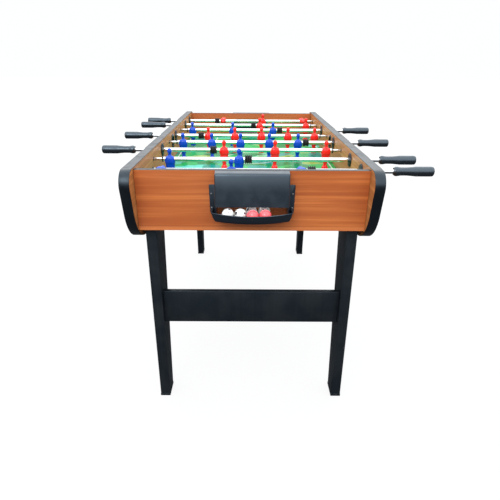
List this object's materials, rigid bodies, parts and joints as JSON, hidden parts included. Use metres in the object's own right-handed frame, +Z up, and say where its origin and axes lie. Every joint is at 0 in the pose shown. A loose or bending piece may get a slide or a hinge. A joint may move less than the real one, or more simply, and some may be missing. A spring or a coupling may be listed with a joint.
{
  "type": "foosball table",
  "caption": "Foosball table with wood-look cabinet, telescopic rods of blue and red players, ball returns at both ends and braced black leg frames.",
  "frame": {"origin": "on the floor, under the centre of the table", "axes": "+Y along the playfield towards the back end, +X along the rods towards the blue team's handles, +Z up"},
  "size_m": [0.928, 1.2726, 0.6976],
  "materials": {
    "side_board": "satin wood-grain laminate on board, black edges",
    "end_board": "satin wood-grain laminate on board",
    "pitch_print": "printed board with a satin film",
    "leg_board": "black satin laminate on board",
    "return_plastic": "moulded dark grey plastic",
    "chrome": "polished chrome tube",
    "steel": "bright drawn steel",
    "grip_plastic": "black moulded grip",
    "blue_plastic": "glossy blue moulding",
    "red_plastic": "glossy red moulding",
    "black_rubber": "ribbed black rubber",
    "black_plastic": "black moulded plastic",
    "screw_steel": "zinc-plated screw heads",
    "ball_plastic": "white moulded ball with coloured patches"
  },
  "bodies": {
    "table": {"side_panel_right": "side_board", "side_panel_left": "side_board", "end_panel_front": "end_board", "end_panel_back": "end_board", "playfield": "pitch_print", "leg_frame_front": "leg_board", "leg_frame_back": "leg_board", "ball_return_front": "return_plastic", "ball_return_back": "return_plastic"},
    "blue_goalie_inner_rod": {"blue_goalie_inner_rod": "steel"},
    "blue_goalie_rod": {"blue_goalie_tube": "chrome", "blue_goalie_grip": "grip_plastic", "blue_goalie_man_1": "blue_plastic", "blue_goalie_man_2": "blue_plastic", "blue_goalie_man_3": "blue_plastic"},
    "blue_defence_inner_rod": {"blue_defence_inner_rod": "steel"},
    "blue_defence_rod": {"blue_defence_tube": "chrome", "blue_defence_grip": "grip_plastic", "blue_defence_man_1": "blue_plastic", "blue_defence_man_2": "blue_plastic"},
    "red_attack_inner_rod": {"red_attack_inner_rod": "steel"},
    "red_attack_rod": {"red_attack_tube": "chrome", "red_attack_grip": "grip_plastic", "red_attack_man_1": "red_plastic", "red_attack_man_2": "red_plastic", "red_attack_man_3": "red_plastic"},
    "blue_midfield_inner_rod": {"blue_midfield_inner_rod": "steel"},
    "blue_midfield_rod": {"blue_midfield_tube": "chrome", "blue_midfield_grip": "grip_plastic", "blue_midfield_man_1": "blue_plastic", "blue_midfield_man_2": "blue_plastic", "blue_midfield_man_3": "blue_plastic", "blue_midfield_man_4": "blue_plastic", "blue_midfield_man_5": "blue_plastic"},
    "red_midfield_inner_rod": {"red_midfield_inner_rod": "steel"},
    "red_midfield_rod": {"red_midfield_tube": "chrome", "red_midfield_grip": "grip_plastic", "red_midfield_man_1": "red_plastic", "red_midfield_man_2": "red_plastic", "red_midfield_man_3": "red_plastic", "red_midfield_man_4": "red_plastic", "red_midfield_man_5": "red_plastic"},
    "blue_attack_inner_rod": {"blue_attack_inner_rod": "steel"},
    "blue_attack_rod": {"blue_attack_tube": "chrome", "blue_attack_grip": "grip_plastic", "blue_attack_man_1": "blue_plastic", "blue_attack_man_2": "blue_plastic", "blue_attack_man_3": "blue_plastic"},
    "red_defence_inner_rod": {"red_defence_inner_rod": "steel"},
    "red_defence_rod": {"red_defence_tube": "chrome", "red_defence_grip": "grip_plastic", "red_defence_man_1": "red_plastic", "red_defence_man_2": "red_plastic"},
    "red_goalie_inner_rod": {"red_goalie_inner_rod": "steel"},
    "red_goalie_rod": {"red_goalie_tube": "chrome", "red_goalie_grip": "grip_plastic", "red_goalie_man_1": "red_plastic", "red_goalie_man_2": "red_plastic", "red_goalie_man_3": "red_plastic"}
  },
  "joints": [
    {"name": "blue_goalie_spin", "type": "hinge", "parent": "table", "child": "blue_goalie_inner_rod", "pos_m": [0, -0.474, 0.667], "axis": [1, 0, 0], "continuous": true},
    {"name": "blue_goalie_slide", "type": "slide", "parent": "blue_goalie_inner_rod", "child": "blue_goalie_rod", "axis": [1, 0, 0], "range_m": [-0.02, 0.112]},
    {"name": "blue_defence_spin", "type": "hinge", "parent": "table", "child": "blue_defence_inner_rod", "pos_m": [0, -0.33857, 0.667], "axis": [1, 0, 0], "continuous": true},
    {"name": "blue_defence_slide", "type": "slide", "parent": "blue_defence_inner_rod", "child": "blue_defence_rod", "axis": [1, 0, 0], "range_m": [-0.02, 0.274]},
    {"name": "red_attack_spin", "type": "hinge", "parent": "table", "child": "red_attack_inner_rod", "pos_m": [0, -0.20314, 0.667], "axis": [-1, 0, 0], "continuous": true},
    {"name": "red_attack_slide", "type": "slide", "parent": "red_attack_inner_rod", "child": "red_attack_rod", "axis": [-1, 0, 0], "range_m": [-0.02, 0.1455]},
    {"name": "blue_midfield_spin", "type": "hinge", "parent": "table", "child": "blue_midfield_inner_rod", "pos_m": [0, -0.06771, 0.667], "axis": [1, 0, 0], "continuous": true},
    {"name": "blue_midfield_slide", "type": "slide", "parent": "blue_midfield_inner_rod", "child": "blue_midfield_rod", "axis": [1, 0, 0], "range_m": [-0.02, 0.08]},
    {"name": "red_midfield_spin", "type": "hinge", "parent": "table", "child": "red_midfield_inner_rod", "pos_m": [0, 0.06771, 0.667], "axis": [-1, 0, 0], "continuous": true},
    {"name": "red_midfield_slide", "type": "slide", "parent": "red_midfield_inner_rod", "child": "red_midfield_rod", "axis": [-1, 0, 0], "range_m": [-0.02, 0.08]},
    {"name": "blue_attack_spin", "type": "hinge", "parent": "table", "child": "blue_attack_inner_rod", "pos_m": [0, 0.20314, 0.667], "axis": [1, 0, 0], "continuous": true},
    {"name": "blue_attack_slide", "type": "slide", "parent": "blue_attack_inner_rod", "child": "blue_attack_rod", "axis": [1, 0, 0], "range_m": [-0.02, 0.152]},
    {"name": "red_defence_spin", "type": "hinge", "parent": "table", "child": "red_defence_inner_rod", "pos_m": [0, 0.33857, 0.667], "axis": [-1, 0, 0], "continuous": true},
    {"name": "red_defence_slide", "type": "slide", "parent": "red_defence_inner_rod", "child": "red_defence_rod", "axis": [-1, 0, 0], "range_m": [-0.02, 0.274]},
    {"name": "red_goalie_spin", "type": "hinge", "parent": "table", "child": "red_goalie_inner_rod", "pos_m": [0, 0.474, 0.667], "axis": [-1, 0, 0], "continuous": true},
    {"name": "red_goalie_slide", "type": "slide", "parent": "red_goalie_inner_rod", "child": "red_goalie_rod", "axis": [-1, 0, 0], "range_m": [-0.02, 0.112]}
  ]
}
